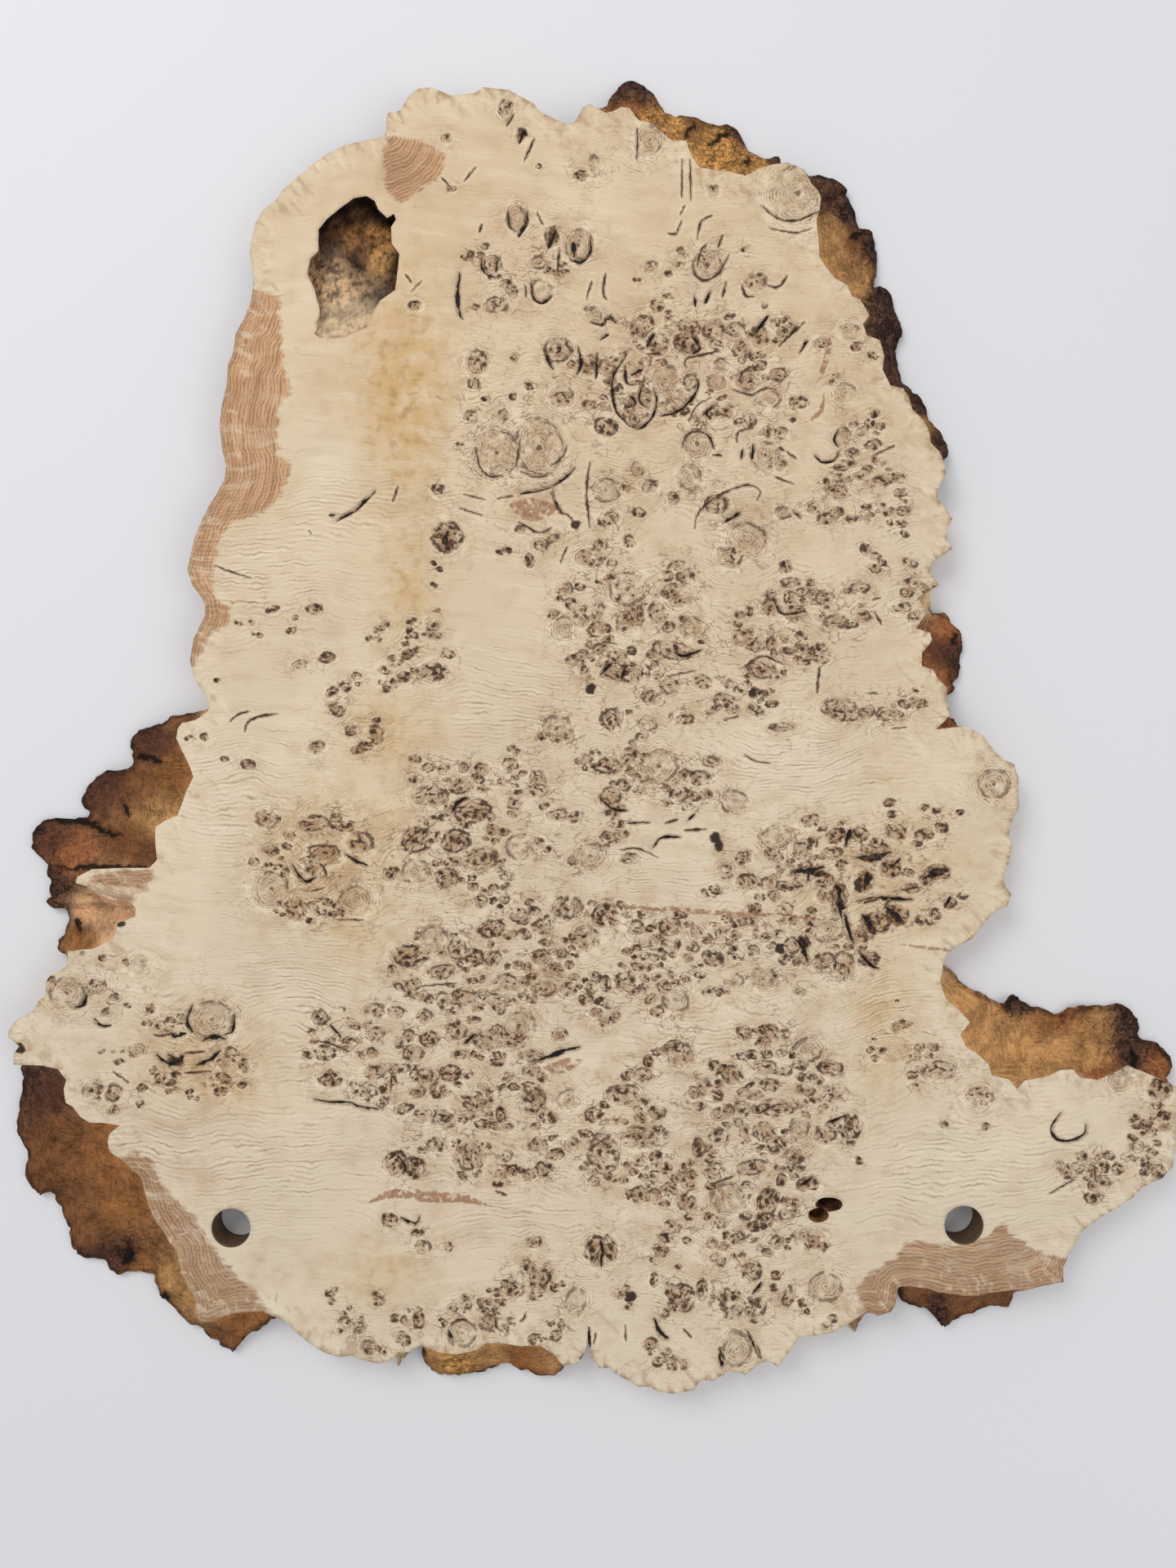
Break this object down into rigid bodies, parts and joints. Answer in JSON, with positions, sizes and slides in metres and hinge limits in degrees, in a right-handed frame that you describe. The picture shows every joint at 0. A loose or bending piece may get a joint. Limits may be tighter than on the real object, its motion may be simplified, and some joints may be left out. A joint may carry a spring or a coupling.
{
  "type": "oak burl slab",
  "caption": "Live-edge slab sawn from an oak burl, with a figured face of clustered eyes, ragged bark along its edge, drilled hanging bores and a natural void.",
  "frame": {"origin": "middle of the slab's bounding box, on its sawn back", "axes": "+Z out of the figured face, +Y towards the narrow end of the slab, +X to the right as the face is looked at"},
  "size_m": [0.654, 0.7334, 0.018],
  "materials": {
    "burl_wood": "sawn and sanded face, raw bark edge"
  },
  "bodies": {
    "root": {"burl_slab": "burl_wood"}
  },
  "joints": []
}
